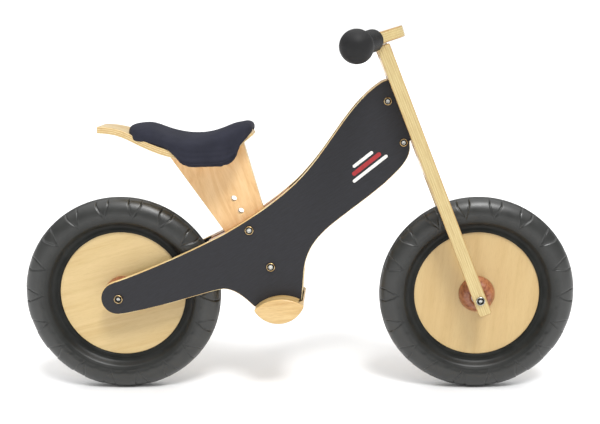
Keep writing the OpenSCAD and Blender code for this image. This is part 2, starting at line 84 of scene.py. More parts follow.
# %% Floor, sky and sun
bpy.context.scene.view_settings.view_transform = "Standard"
floor_half = 30.0
floor_mesh = bpy.data.meshes.new("white_card")
floor_mesh.from_pydata(
    [(-floor_half, -floor_half, 0), (floor_half, -floor_half, 0),
     (floor_half, floor_half, 0), (-floor_half, floor_half, 0)], [], [(0, 1, 2, 3)])
floor = bpy.data.objects.new("white_card", floor_mesh)
bpy.context.scene.collection.objects.link(floor)

sky = bpy.data.worlds.new("white_studio")
sky.use_nodes = True
sky_light = sky.node_tree.nodes["Background"]
sky_light.inputs["Strength"].default_value = 1.6
direction = sky.node_tree.nodes.new("ShaderNodeTexCoord")
height = sky.node_tree.nodes.new("ShaderNodeSeparateXYZ")
lamp = sky.node_tree.nodes.new("ShaderNodeValToRGB")
sky.node_tree.links.new(direction.outputs["Generated"], height.inputs[0])
sky.node_tree.links.new(height.outputs["Z"], lamp.inputs["Fac"])
sky.node_tree.links.new(lamp.outputs["Color"], sky_light.inputs["Color"])
sky_stops = [(0.0, 0.68), (0.06, 0.68), (0.16, 0.18), (0.5, 0.22), (0.8, 1.0)]
while len(lamp.color_ramp.elements) < len(sky_stops):
    lamp.color_ramp.elements.new(1.0)
for element, (at, grey) in zip(lamp.color_ramp.elements, sky_stops):
    element.position = at
    element.color = (grey, grey, grey, 1.0)
bpy.context.scene.world = sky

sun_data = bpy.data.lights.new("soft_box", "SUN")
sun_data.energy = 1.8
sun_data.angle = math.radians(18)
sun = bpy.data.objects.new("soft_box", sun_data)
sun.rotation_euler = Vector((-0.2, 0.62, -1.0)).to_track_quat("-Z", "Y").to_euler()
bpy.context.scene.collection.objects.link(sun)
print("light: white sky, sun of", sun_data.energy)

# %% [markdown]
# ## Colours and shader nodes
# Paint charts give colours as sRGB hex values, but a renderer adds light in linear
# values, so one function turns the first into the second. A second small function adds a
# shader node with its settings, its numbers and its links, so that a material can
# be read from top to bottom.

# %% Helpers for materials
def linear(hex_colour):
    """sRGB to linear: c / 12.92 up to 0.04045, and ((c + 0.055) / 1.055) ** 2.4 above it."""
    c = np.array([int(hex_colour[i:i + 2], 16) for i in (1, 3, 5)]) / 255
    c = np.where(c <= 0.04045, c / 12.92, ((c + 0.055) / 1.055) ** 2.4)
    return (*c.tolist(), 1.0)


def add(tree, kind, settings=None, values=None, links=None, stops=None):
    """Add one shader node, set it up, and link its inputs to the given outputs."""
    node = tree.nodes.new(kind)
    for key, value in (settings or {}).items():
        setattr(node, key, value)
    for key, value in (values or {}).items():
        node.inputs[key].default_value = value
    for key, source in (links or {}).items():
        tree.links.new(source, node.inputs[key])
    if stops:
        ramp = node.color_ramp.elements
        while len(ramp) < len(stops):
            ramp.new(1.0)
        for element, (at, colour) in zip(ramp, stops):
            element.position = at
            element.color = linear(colour) if isinstance(colour, str) else (*[colour] * 3, 1.0)
    return node


def finish(name, **sockets):
    """A new material with its surface's fixed numbers set on the shader's own sockets."""
    material = bpy.data.materials.new(name)
    material.use_nodes = True
    surface = material.node_tree.nodes["Principled BSDF"]
    for socket, value in sockets.items():
        surface.inputs[socket.replace("_", " ")].default_value = value
    return material, material.node_tree, surface


def positions(mesh, what="co"):
    """All of a mesh's points, or another three-number property of them, as one array."""
    flat = np.empty(len(mesh.vertices) * 3)
    mesh.vertices.foreach_get(what, flat)
    return flat.reshape(-1, 3)


card, _, _ = finish("white_card_matt", Base_Color=linear("#F8F8F8"), Roughness=0.9)
floor_mesh.materials.append(card)
MM = 0.001
print("#808080 is", round(linear("#808080")[0], 3), "linear")

# %% [markdown]
# ## Wood
# Birch and beech under clear lacquer: a pale ground with a broad, faint figure where the
# veneer knife crossed the growth rings, and short fine pores along the grain. The
# figure is noise stretched along the grain, a hand long and a finger wide. The
# pores are a second noise, about 12 mm long and 0.9 mm wide. The lacquer is a thin
# coat, which gives the eye a soft white edge where a surface turns away.

# %% Wood and plywood makers
def along_grain(tree, where, along, length_mm, width_mm):
    """Coordinates turned so that x runs along the grain, with one unit per streak."""
    turn = Vector((1, 0, 0)).rotation_difference(Vector(along)).to_euler()
    scale = (length_mm * MM, width_mm * MM, width_mm * MM)
    return add(tree, "ShaderNodeMapping", {"vector_type": "TEXTURE"},
               {"Rotation": turn, "Scale": scale}, {"Vector": where}).outputs[0]


pore_mm = 0.9


def wood(name, light, mid, dark, along, length_mm, width_mm, pore_depth=0.35, coat=0.35,
         warp=0.6):
    """Lacquered wood: colour = ramp(stretched noise), darkened where the fine pores are."""
    material, tree, surface = finish(
        name, Roughness=0.38, Coat_Weight=coat, Coat_Roughness=0.18, IOR=1.5)
    where = add(tree, "ShaderNodeTexCoord").outputs["Object"]
    figure = add(tree, "ShaderNodeTexNoise",
                 values={"Scale": 1.0, "Detail": 4.0, "Roughness": 0.55, "Distortion": warp},
                 links={"Vector": along_grain(tree, where, along, length_mm, width_mm)})
    pores = add(tree, "ShaderNodeTexNoise",
                values={"Scale": 1.0, "Detail": 2.0, "Roughness": 0.6},
                links={"Vector": along_grain(tree, where, along, 13 * pore_mm, pore_mm)})
    colour = add(tree, "ShaderNodeValToRGB", links={"Fac": figure.outputs[0]},
                 stops=[(0.32, dark), (0.48, mid), (0.68, light)])
    pore_mask = add(tree, "ShaderNodeMapRange",
                    values={"From Min": 0.52, "From Max": 0.72, "To Max": pore_depth},
                    links={"Value": pores.outputs[0]})
    mixed = add(tree, "ShaderNodeMix", {"data_type": "RGBA", "blend_type": "MULTIPLY"},
                {7: linear("#B99563")},
                {0: pore_mask.outputs[0], 6: colour.outputs[0]})
    rise = add(tree, "ShaderNodeBump", values={"Strength": 0.12, "Distance": 0.2 * MM},
               links={"Height": pores.outputs[0]})
    tree.links.new(mixed.outputs[2], surface.inputs["Base Color"])
    tree.links.new(rise.outputs[0], surface.inputs["Normal"])
    return material


def ply_edge(name, light, dark, glue, across=(0, 0, 1), along=(1, 0, 0), layer_mm=1.4,
             depth_attribute=None):
    """Sanded plywood edge. Layer number = place along 'across' / layer thickness. Even
    layers show long grain, odd ones darker end grain, with a glue line between them."""
    material, tree, surface = finish(
        name, Roughness=0.45, Coat_Weight=0.25, Coat_Roughness=0.2, IOR=1.5)
    where = add(tree, "ShaderNodeTexCoord").outputs["Object"]
    if depth_attribute:
        depth = add(tree, "ShaderNodeAttribute", {"attribute_name": depth_attribute}).outputs["Fac"]
    else:
        depth = add(tree, "ShaderNodeVectorMath", {"operation": "DOT_PRODUCT"},
                    {1: across}, {0: where}).outputs["Value"]
    pair = add(tree, "ShaderNodeMath", {"operation": "MULTIPLY"}, {1: 0.5 / (layer_mm * MM)},
               {0: depth})
    in_pair = add(tree, "ShaderNodeMath", {"operation": "FRACT"}, links={0: pair.outputs[0]})
    layers = add(tree, "ShaderNodeValToRGB", links={"Fac": in_pair.outputs[0]},
                 stops=[(0.0, glue), (0.07, light), (0.43, light), (0.5, glue), (0.57, dark),
                        (0.93, dark), (1.0, glue)])
    streaks = add(tree, "ShaderNodeTexNoise",
                  values={"Scale": 1.0, "Detail": 3.0, "Roughness": 0.6},
                  links={"Vector": along_grain(tree, where, along, 26, 1.1)})
    streak_mask = add(tree, "ShaderNodeMapRange",
                      values={"From Min": 0.45, "From Max": 0.75, "To Max": 0.55},
                      links={"Value": streaks.outputs[0]})
    mixed = add(tree, "ShaderNodeMix", {"data_type": "RGBA", "blend_type": "MULTIPLY"},
                {7: linear("#C9A877")},
                {0: streak_mask.outputs[0], 6: layers.outputs[0]})
    rise = add(tree, "ShaderNodeBump", values={"Strength": 0.15, "Distance": 0.2 * MM},
               links={"Height": streaks.outputs[0]})
    tree.links.new(mixed.outputs[2], surface.inputs["Base Color"])
    tree.links.new(rise.outputs[0], surface.inputs["Normal"])
    return material


# %% [markdown]
# Each wooden part gets its own cut: the seat post is rotary-cut birch with a strong flame,
# the discs are pale birch veneer, and the hubs are turned from a red-brown hardwood.
# The fork and handlebar are cut from thick board and show their layers as fine lines
# along their length, so their maker is the plywood edge, not the face.

# %% Wood finishes
steer_axis = np.array(joints["steering"]["axis"])
fork_forward = np.array([steer_axis[2], 0.0, -steer_axis[0]])
bar_lean = math.radians(17)
bar_forward = np.array([math.cos(bar_lean), 0.0, math.sin(bar_lean)])
bar_up = np.array([-math.sin(bar_lean), 0.0, math.cos(bar_lean)])
panel_lean = math.atan((39 - 20.5) / (555 - 125))

post_birch = wood("birch_ply_flame_figure", "#ECC690", "#E5BB82", "#DAAB70", (-0.35, 0, 0.94),
                  110, 22, warp=2.2, pore_depth=0.2)
rear_birch = wood("birch_veneer_rear", "#D5BA84", "#CFB47D", "#C8A970", (0.97, 0, 0.26), 210, 13,
                  pore_depth=0.15)
front_birch = wood("birch_veneer_front", "#CDB17A", "#C9AB74", "#C3A46C", (0.1, 0, 1), 190, 18,
                   pore_depth=0.15)
foot_maple = wood("maple_footrest", "#DDBE85", "#D3B073", "#C69D5C", (1, 0, 0.09), 80, 6,
                  coat=0.6)
hub_hardwood = wood("red_hardwood_turned", "#B0714A", "#9A5C3A", "#7F4427", (0, 1, 0.1),
                    60, 5, pore_depth=0.6, coat=0.5)
block_beech = wood("beech_block", "#DDBD84", "#D2AC70", "#C2985B", (0, 0, 1), 70, 6)
# The seat spacers get a darker brown than their wood: painted shade for the gap between the panels.
spacer_painted_shade = wood("spacer_wood_painted_shade", "#B98552", "#A57141", "#8A5A30", (1, 0, 0.4), 60, 5)
veneer_seat = wood("birch_veneer_seat", "#E2CB9C", "#DABF8B", "#CDAB70", (1, 0, 0), 120, 12)
leg_edge = ply_edge("fork_ply_lines", "#D5C28D", "#CBB67F", "#B49960",
                    fork_forward.tolist(), steer_axis.tolist(), 1.6)
bar_edge = ply_edge("handlebar_ply_lines", "#D5C28D", "#CBB67F", "#B49960",
                    bar_up.tolist(), bar_forward.tolist(), 1.6)
panel_edge = ply_edge("bare_panel_edge", "#F3DDA6", "#E3C285", "#CBA465", (0, 1, 0),
                      (1, 0, 0.6), 1.5)
seat_edge = ply_edge("seat_board_layers", "#E4CF9B", "#CFAE74", "#A07A42", layer_mm=1.45,
                     depth_attribute="ply_depth")
print("materials so far:", len(bpy.data.materials))

# %% [markdown]
# ## Stain, rubber, cloth and metal
# The panels wear a charcoal stain that hides the veneer's colour but lets its pores show
# as faint relief. Tyre rubber is nearly black, matt, and a little mottled from the mould.
# Its gloss grows with the distance from the axle, stored as an attribute, because the
# hollow beside the disc keeps the matt skin of the mould. The saddle's cover is knitted
# stretch cloth, so its threads, 0.5 mm apart, show only as a soft bloom at grazing
# angles. The screws are brass plated on the frame and nickel plated on the fork.

# %% Other finishes
def mottled(name, light, dark, patch_mm, bump_mm, rough_low, rough_high, bump=0.3, **sockets):
    """A near-plain surface: colour and roughness drift with one noise, relief with a finer."""
    material, tree, surface = finish(name, **sockets)
    where = add(tree, "ShaderNodeTexCoord").outputs["Object"]
    patches = add(tree, "ShaderNodeTexNoise",
                  values={"Scale": 1 / (patch_mm * MM), "Detail": 3.0}, links={"Vector": where})
    grit = add(tree, "ShaderNodeTexNoise",
               values={"Scale": 1 / (bump_mm * MM), "Detail": 2.0}, links={"Vector": where})
    colour = add(tree, "ShaderNodeValToRGB", links={"Fac": patches.outputs[0]},
                 stops=[(0.35, dark), (0.65, light)])
    rough = add(tree, "ShaderNodeMapRange", values={"To Min": rough_low, "To Max": rough_high},
                links={"Value": patches.outputs[0]})
    rise = add(tree, "ShaderNodeBump", values={"Strength": bump, "Distance": 0.3 * MM},
               links={"Height": grit.outputs[0]})
    tree.links.new(colour.outputs[0], surface.inputs["Base Color"])
    tree.links.new(rough.outputs[0], surface.inputs["Roughness"])
    tree.links.new(rise.outputs[0], surface.inputs["Normal"])
    return material


def stain(name, light, dark, along):
    """Opaque stain on veneer: flat colour with pores 14 mm long as relief and faint tone."""
    material, tree, surface = finish(name, Roughness=0.45, Coat_Weight=0.04,
                                     Coat_Roughness=0.3, Specular_IOR_Level=0.3)
    where = add(tree, "ShaderNodeTexCoord").outputs["Object"]
    pores = add(tree, "ShaderNodeTexNoise", values={"Scale": 1.0, "Detail": 3.0},
                links={"Vector": along_grain(tree, where, along, 14, 1.1)})
    colour = add(tree, "ShaderNodeValToRGB", links={"Fac": pores.outputs[0]},
                 stops=[(0.35, dark), (0.65, light)])
    rise = add(tree, "ShaderNodeBump", values={"Strength": 0.18, "Distance": 0.15 * MM},
               links={"Height": pores.outputs[0]})
    tree.links.new(colour.outputs[0], surface.inputs["Base Color"])
    tree.links.new(rise.outputs[0], surface.inputs["Normal"])
    return material


charcoal = stain("charcoal_stained_birch", "#28282D", "#232326", (0.85, 0, 0.52))
tyre_rubber = mottled("moulded_tyre_rubber", "#242523", "#1B1C1A", 22, 0.9, 0.3, 0.44)
tyre_tree = tyre_rubber.node_tree
reach = add(tyre_tree, "ShaderNodeAttribute", {"attribute_name": "from_axle"})
worn = add(tyre_tree, "ShaderNodeMapRange",
           values={"From Min": 104 * MM, "From Max": 132 * MM, "To Min": 0.12, "To Max": 0.75},
           links={"Value": reach.outputs["Fac"]})
tyre_tree.links.new(worn.outputs[0],
                    tyre_tree.nodes["Principled BSDF"].inputs["Specular IOR Level"])
grip_rubber = mottled("soft_grip_rubber", "#1D1D1E", "#181819", 16, 0.8, 0.5, 0.62,
                      Specular_IOR_Level=0.3)
foam_core = mottled("grey_tyre_foam", "#5A5B5F", "#4A4B4E", 5, 1.5, 0.8, 0.9)
cover_cloth = mottled("navy_stretch_knit", "#2C2D38", "#262731", 30, 0.9, 0.8, 0.9, 0.4,
                      Sheen_Weight=0.01, Sheen_Roughness=0.5, Specular_IOR_Level=0.2)
cover_trim = mottled("navy_hem_tape", "#20212A", "#1B1C24", 12, 0.8, 0.7, 0.85, 0.3,
                     Specular_IOR_Level=0.25)
brass_plate = mottled("brass_plated_steel", "#D8BE92", "#B89A6A", 4, 1.2, 0.2, 0.32, 0.05,
                      Metallic=1.0)
# Painted shade: near-black brown for the screws' dished ring and socket wall, where the recess lies in shade.
recess_painted_shade = mottled("screw_recess_painted_shade", "#2E2A25", "#1E1B18", 3, 1.0, 0.4, 0.6, 0.1)
nickel = mottled("nickel_plated_steel", "#D3D2CC", "#A9A9A4", 4, 1.2, 0.2, 0.34, 0.05,
                 Metallic=1.0)
nylon = mottled("white_nylon", "#EDEBE4", "#E2E0D8", 8, 1.0, 0.4, 0.5, 0.1)
seal_rubber = mottled("bearing_seal_rubber", "#2A2A2A", "#202020", 6, 1.0, 0.5, 0.6)
print("materials so far:", len(bpy.data.materials))

# %% [markdown]
# ## Finishes for the mechanical parts that stay as they are
# Axles, bearings, blocks and screws inside the bike keep the frame's own exact shapes.
# Each only needs its finish, by the record's material slot.

# %% Dress the frame's own nodes
slot_finish = {
    "stained_panel": charcoal, "beech_block": block_beech, "nylon": nylon,
    "brassed_steel": brass_plate, "post_ply": post_birch, "spacer_wood": spacer_painted_shade,
    "seat_ply": veneer_seat, "steel": nickel, "seat_foam": foam_core,
    "seat_fabric": cover_cloth, "footrest_wood": foot_maple, "tyre_rubber": tyre_rubber,
    "core_foam": foam_core, "disc_ply": rear_birch, "hub_wood": hub_hardwood,
    "shield_rubber": seal_rubber, "fork_wood": leg_edge, "grip_rubber": grip_rubber,
}
node_slot = {part["node"]: part["material_slot"] for part in frame["record"]["subparts"]}
node_body = {node: body for body, members in frame["record"]["behaviour"]["bodies"].items()
             for node in members}
for node, slot in node_slot.items():
    nodes[node].data.materials.clear()
    nodes[node].data.materials.append(slot_finish[slot])
print("dressed", len(node_slot), "nodes with", len(set(node_slot.values())), "finishes")

# %% [markdown]
# ## Rounding the cut edges
# On the real bike every sawn edge is sanded to a radius of about 1 mm, and that thin
# round is what catches the light. The frame's nodes are sharp, so each wooden one is
# copied, its loose triangles are merged, flat neighbours are joined into whole faces, and
# a Bevel modifier rounds the edges that are left. The copy stands for its node.

# %% Edge rounding
def rounded(node, materials, radius_mm=1.0, second=None, rim=-1):
    """A merged copy of a node with its sharp edges rounded. 'second' is a test on the face
    normals, as an array, that picks the faces with the second material, and 'rim' is the
    material of the rounded edge, or -1 for that of its neighbours."""
    copy = bpy.data.meshes.new(node + "_wood")
    mesh = bmesh.new()
    mesh.from_mesh(nodes[node].data)
    bmesh.ops.remove_doubles(mesh, verts=mesh.verts, dist=2e-6)
    bmesh.ops.dissolve_limit(mesh, angle_limit=math.radians(0.6), verts=mesh.verts,
                             edges=mesh.edges)
    bmesh.ops.recalc_face_normals(mesh, faces=mesh.faces)
    mesh.to_mesh(copy)
    mesh.free()
    copy.materials.clear()
    for material in materials:
        copy.materials.append(material)
    normals = np.empty(len(copy.polygons) * 3)
    copy.polygons.foreach_get("normal", normals)
    choice = np.zeros(len(copy.polygons), dtype=np.int32)
    if second is not None:
        choice[second(normals.reshape(-1, 3))] = 1
    copy.polygons.foreach_set("material_index", choice)
    copy.shade_smooth()
    copy.set_sharp_from_angle(angle=math.radians(28))
    piece = bpy.data.objects.new(node + "_wood", copy)
    bpy.context.scene.collection.objects.link(piece)
    bevel = piece.modifiers.new("sanded_edge", "BEVEL")
    bevel.width = radius_mm * MM
    bevel.segments = 3
    bevel.limit_method = "ANGLE"
    bevel.angle_limit = math.radians(28)
    bevel.use_clamp_overlap = False
    bevel.harden_normals = True
    bevel.material = rim
    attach(piece, node_body[node])
    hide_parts(node)
    return piece


# %% [markdown]
# The side panels are stained on their two faces only, so the sawn edge stays
# pale and its layers show. The faces are the ones whose normals point across the bike.

# %% Panels, head block, post and footrest
for side in ("right", "left"):
    rounded("frame_panel_" + side, [charcoal, panel_edge], 0.8,
            lambda n: np.abs(n[:, 1]) < 0.9, rim=1)
rounded("seat_post", [post_birch, panel_edge], 1.0, lambda n: np.abs(n[:, 1]) < 0.9)
rounded("head_block", [block_beech], 0.8)
rounded("seat_cleats", [block_beech], 0.8)
rounded("footrest", [foot_maple], 2.2)
for side in ("right", "left"):
    rounded("seat_spacer_" + side, [spacer_painted_shade], 0.5)
print("rounded the frame's wooden parts")

# %% [markdown]
# The fork legs, crowns and handlebar are thick plywood. Their sides show the layers as
# lines along the length, and their front and back faces are plain veneer. Their rounded
# corners are painted a darker brown, a painted shade along each edge.

# %% Fork and handlebar wood
# Painted shade: a darker brown on the rounded edges stands in for the shading along them.
edge_painted_shade = wood("fork_edge_painted_shade", "#C29C60", "#B68E52", "#A67E45", steer_axis.tolist(), 60, 4,
                pore_depth=0.0)
fork_face = wood("fork_face_veneer", "#EBCB8C", "#E2BC78", "#D5A860", steer_axis.tolist(), 110, 7)
for side in ("right", "left"):
    rounded("fork_leg_" + side, [leg_edge, fork_face, edge_painted_shade], 1.0,
            lambda n: np.abs(n @ fork_forward) > 0.9, rim=2)
for level in ("upper", "lower"):
    rounded("fork_crown_" + level, [leg_edge, fork_face], 1.0,
            lambda n: np.abs(n @ fork_forward) > 0.9)
rounded("handlebar", [bar_edge, fork_face, edge_painted_shade], 1.6,
        lambda n: np.abs(n @ bar_up) > 0.9, rim=2)
for wheel, veneer in (("rear", rear_birch), ("front", front_birch)):
    rounded(wheel + "_disc", [veneer], 0.8)
print("rounded the fork, handlebar and discs")

# %% [markdown]
# ## Surfaces worked out with numpy
# New shapes are grids of points. A curve in one direction and a turn, or a path, in
# the other give the two parameters, whole arrays at a time. One function
# makes the mesh: it closes the grid where it meets itself, merges the points
# that meet at a pole, and turns all faces outwards.

# %% Grid pieces
def bezier(a, b, c, d, count=12, last=False):
    """Points of a cubic curve: (1-u)^3 a + 3(1-u)^2 u b + 3(1-u) u^2 c + u^3 d."""
    u = np.linspace(0, 1, count, endpoint=last)[:, None]
    a, b, c, d = (np.asarray(p, dtype=float) for p in (a, b, c, d))
    return (1 - u) ** 3 * a + 3 * (1 - u) ** 2 * u * b + 3 * (1 - u) * u ** 2 * c + u ** 3 * d


def grid_faces(rows, cols, wrap_rows, wrap_cols):
    """Quads between neighbouring grid points, with the last row or column joined to the
    first where the grid wraps."""
    r = np.arange(rows if wrap_rows else rows - 1)
    c = np.arange(cols if wrap_cols else cols - 1)
    r, c = np.meshgrid(r, c, indexing="ij")
    r, c, r2, c2 = r.ravel(), c.ravel(), (r.ravel() + 1) % rows, (c.ravel() + 1) % cols
    return np.stack([r * cols + c, r * cols + c2, r2 * cols + c2, r2 * cols + c], axis=1)


def grid_mesh(name, grids, sharp_deg=35):
    """One mesh from several grids, each (points[rows, cols, 3], wrap_rows, wrap_cols), with
    the number of its material as a fourth entry where that isn't 0."""
    points, faces, choice, start = [], [], [], 0
    for grid, wrap_rows, wrap_cols, *material in grids:
        rows, cols = grid.shape[:2]
        points.append(grid.reshape(-1, 3))
        faces.append(grid_faces(rows, cols, wrap_rows, wrap_cols) + start)
        choice.append(np.full(len(faces[-1]), material[0] if material else 0, dtype=np.int32))
        start += rows * cols
    mesh = bpy.data.meshes.new(name)
    mesh.from_pydata(np.concatenate(points).tolist(), [], np.concatenate(faces).tolist())
    mesh.polygons.foreach_set("material_index", np.concatenate(choice))
    tidy = bmesh.new()
    tidy.from_mesh(mesh)
    bmesh.ops.remove_doubles(tidy, verts=tidy.verts, dist=1e-6)
    bmesh.ops.recalc_face_normals(tidy, faces=tidy.faces)
    tidy.to_mesh(mesh)
    tidy.free()
    mesh.shade_smooth()
    mesh.set_sharp_from_angle(angle=math.radians(sharp_deg))
    return mesh


def piece_of(mesh, body, material, stands_for=()):
    """Link a mesh as a finished piece that rides on a body. It has one material or a list."""
    for each in material if isinstance(material, list) else [material]:
        mesh.materials.append(each)
    piece = bpy.data.objects.new(mesh.name, mesh)
    bpy.context.scene.collection.objects.link(piece)
    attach(piece, body)
    if stands_for:
        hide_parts(*stands_for)
    print(mesh.name + ":", len(mesh.vertices), "points,", len(mesh.polygons), "faces")
    return piece


def frame_round(axis):
    """Two directions square to an axis and to each other."""
    axis = np.asarray(axis, dtype=float) / np.linalg.norm(axis)
    first = np.cross(axis, (0, 0, 1) if abs(axis[2]) < 0.9 else (1, 0, 0))
    first /= np.linalg.norm(first)
    return axis, first, np.cross(axis, first)


def turned(radius, height, centre, axis, around=96):
    """A turned surface: point(t, a) = centre + height(t) axis + radius (cos a e1 + sin a e2).
    The radius is a list over t, or an array over t and a."""
    axis, e1, e2 = frame_round(axis)
    a = np.linspace(0, 2 * math.pi, around, endpoint=False)
    radius = np.asarray(radius, dtype=float)
    radius = radius[:, None] * np.ones(around) if radius.ndim == 1 else radius
    height = np.asarray(height, dtype=float)
    return (np.asarray(centre) + height[:, None, None] * axis
            + radius[..., None] * (np.cos(a)[:, None] * e1 + np.sin(a)[:, None] * e2))


# %% [markdown]
# ## The tyres
# A 12 inch airless tyre is moulded in one piece. From the side it has a thin lip on
# the disc, a hollow ring, a round wall and a scalloped shoulder, where V-shaped grooves
# part the blocks of the tread. The section is one closed curve turned about the axle. The
# grooves are pressed in along the section's normals: each follows a line, and its
# depth falls off as exp(-(distance / width)^2). The wall below the blocks is pressed in as
# a whole, up to a scalloped line, so the blocks stand 1.1 mm proud of it.

# %% Tyre section and tread
tyre_turns = 1080
mark_count = 18
tyre_section_middle = (126, 0)
shoulder_r, web_r, crown_r = 121.5, 128, 140
vee_depth, web_depth, block_depth, zigzag_depth, ring_depth = 1.6, 0.7, 1.1, 1.2, 0.5
deepest_press = 2.3


def tyre_section():
    """Half the section from the disc to the crown, mirrored, then closed round the rim."""
    half = np.concatenate([
        bezier((98, 6.1), (98.2, 8.4), (99.4, 9.5), (101.2, 9.5), 4),
        bezier((101.2, 9.5), (103.6, 9.5), (104.4, 8.4), (106.5, 8.7), 4),
        bezier((106.5, 8.7), (110, 9.4), (111.5, 14.6), (115, 17.6), 7),
        bezier((115, 17.6), (118.5, 20.4), (122, 21), (127, 21), 7),
        bezier((127, 21), (140, 21), (153, 13), (153, 0), 20, last=True)])
    other = half[-2::-1] * (1, -1)
    inner = np.array([(98, -6.0), (104, -6.0), (104, 0), (104, 6.0), (98, 6.0)])
    return np.concatenate([half, other, inner])


def tyre_surface(centre):
    """Turn the section about the axle and press the tread's grooves into it."""
    section = tyre_section()
    ahead = np.roll(section, -1, axis=0) - np.roll(section, 1, axis=0)
    normal = np.stack([ahead[:, 1], -ahead[:, 0]], axis=1)
    normal /= np.linalg.norm(normal, axis=1)[:, None]
    normal *= np.sign((normal * (section - tyre_section_middle)).sum(axis=1))[:, None]
    r, y = section[:, 0][:, None], section[:, 1][:, None]
    a = np.linspace(0, 2 * math.pi, tyre_turns, endpoint=False)[None, :]
    pitch = 2 * math.pi / mark_count
    shift = np.where(y > 0, 0.5 * pitch, 0.0)
    off = (np.mod(a + shift + 0.5 * pitch, pitch) - 0.5 * pitch) * r
    shoulder = np.abs(y) > 4
    arm = 9.5 * np.clip((r - 123) / 22, 0, 1)
    vee = np.exp(-((np.abs(off) - arm) / 1.0) ** 2) * np.clip((r - shoulder_r) / 2, 0, 1) * shoulder
    web = np.clip((arm - np.abs(off)) / 2, 0, 1) * np.clip((r - web_r) / 5, 0, 1) * shoulder
    half_pitch = 0.5 * pitch * r
    toe = 123.5 + 3.0 * (np.abs(off) / half_pitch) * (1 - np.abs(off) / half_pitch) * 4
    below_block = np.clip((toe - r) / 1.6 + 0.5, 0, 1)
    zigzag = 3.5 + 2.2 * np.abs(off) / half_pitch
    centre_line = np.exp(-((np.abs(y) - zigzag) / 1.0) ** 2) * (r > crown_r)
    ring = np.exp(-((r - 117.5) / 0.8) ** 2) * (np.abs(y) > 8)
    press = (vee_depth * vee + web_depth * web + block_depth * below_block
             + zigzag_depth * centre_line + ring_depth * ring)
    press = np.clip(press, 0, deepest_press) * np.clip((r - 106) / 6, 0, 1)
    r2 = r - press * normal[:, 0][:, None]
    y2 = y - press * normal[:, 1][:, None]
    grid = np.stack([r2 * np.cos(a), y2 * np.ones_like(a), r2 * np.sin(a)], axis=-1) * MM
    return grid + np.asarray(centre)


for wheel in ("rear", "front"):
    axle = joints[wheel + "_wheel_spin"]["pos_m"]
    mesh = grid_mesh(wheel + "_tyre_rubber", [(tyre_surface(axle), True, True)], 60)
    points = positions(mesh)
    reach = np.hypot(points[:, 0] - axle[0], points[:, 2] - axle[2])
    mesh.attributes.new("from_axle", "FLOAT", "POINT").data.foreach_set("value", reach)
    piece_of(mesh, wheel + "_wheel", tyre_rubber, [wheel + "_tyre"])

# %% [markdown]
# ## The hubs
# Each hub is a low dome turned on a lathe, with the bearing's seat in its top. A fine
# bead where it meets the disc and light tool rings show that it was turned.

# %% Hubs
def hub_grid(centre, side):
    """Closed hub section: the dome from the disc to its top, then back down the bore."""
    top = 21.0
    dome = np.concatenate([[(27.4, 0), (28.4, 0.5), (28.5, 2)],
                           bezier((28.5, 2), (27.5, 11), (20.5, top - 0.2), (15, top), 22),
                           [(15, top), (12, top), (11, top - 0.6), (11, top - 7), (6, top - 7),
                            (6, 0)]])
    rings = 0.12 * np.sin(dome[:, 0] * 2 * math.pi / 2.2) * (dome[:, 0] > 15)
    return turned(dome[:, 0] * MM, (dome[:, 1] + rings * (dome[:, 1] > 2)) * MM,
                  np.asarray(centre) + (0, side * 6 * MM, 0), (0, side, 0), 120)


for wheel in ("rear", "front"):
    axle = joints[wheel + "_wheel_spin"]["pos_m"]
    for word, side in (("right", -1), ("left", 1)):
        mesh = grid_mesh(f"{wheel}_hub_{word}_turned", [(hub_grid(axle, side), True, True)], 40)
        piece_of(mesh, wheel + "_wheel", hub_hardwood, [f"{wheel}_hub_{word}"])

# %% [markdown]
# ## Screws with dished heads
# The frame is held by furniture screws with a hexagon socket: a rounded rim, a
# dished ring and a raised middle. The dished ring and the socket's wall are near black,
# a painted shade, and the middle and the socket's floor are nickel white on every screw,
# a painted highlight on the brass ones. The rings go from round at the rim to six-sided at the
# socket, by r = (1 - q) R + q (key / 2) / cos(a folded into 60 degrees - 30 degrees).

# %% Screw heads
def screw_grids(head_at, axis, head_r, head_h, key, shank_r, shank_l, around=72):
    """Head and shank as one closed surface in grids that share their end rows: rim and
    shank, the dished ring in painted shade, the middle in nickel white, a painted highlight
    on brass heads, and its socket's wall in painted shade and floor in nickel white."""
    flat = key / 2
    rim = [(0, -shank_l, 0), (shank_r, -shank_l, 0), (shank_r, 0, 0), (head_r - 0.3, 0, 0),
           (head_r, 0.25, 0), (head_r, 0.45 * head_h, 0), (head_r - 0.25, 0.75 * head_h, 0),
           (head_r - 0.7, 0.95 * head_h, 0), (head_r - 1.2, head_h, 0),
           (head_r - 1.7, 0.85 * head_h, 0)]
    dish = [rim[-1], (head_r - 2.0, 0.35 * head_h, 0), (flat + 1.6, 0.25 * head_h, 0)]
    middle = [dish[-1], (flat + 1.4, 0.6 * head_h, 0.1), (flat + 0.8, 0.85 * head_h, 0.4),
              (flat + 0.15, 0.85 * head_h, 1), (flat, 0.75 * head_h, 1)]
    wall = [middle[-1], (flat - 0.1, 0.45 * head_h, 1)]
    floor_of_socket = [wall[-1], (0.5 * flat, 0.4 * head_h, 0.5), (0, 0.36 * head_h, 0)]
    a = np.linspace(0, 2 * math.pi, around, endpoint=False)[None, :]
    fold = np.mod(a, math.pi / 3) - math.pi / 6
    grids = []
    # Material 1 is the painted shade of the recesses; material 2, nickel white, is a painted highlight on brass
    # heads.
    for rows, material in ((rim, 0), (dish, 1), (middle, 2), (wall, 1),
                           (floor_of_socket, 2)):
        rows = np.array(rows)
        q = rows[:, 2][:, None]
        radius = rows[:, 0][:, None] * ((1 - q) + q / np.cos(fold))
        grids.append((turned(radius * MM, rows[:, 1] * MM, head_at, axis, around),
                      False, True, material))
    return grids


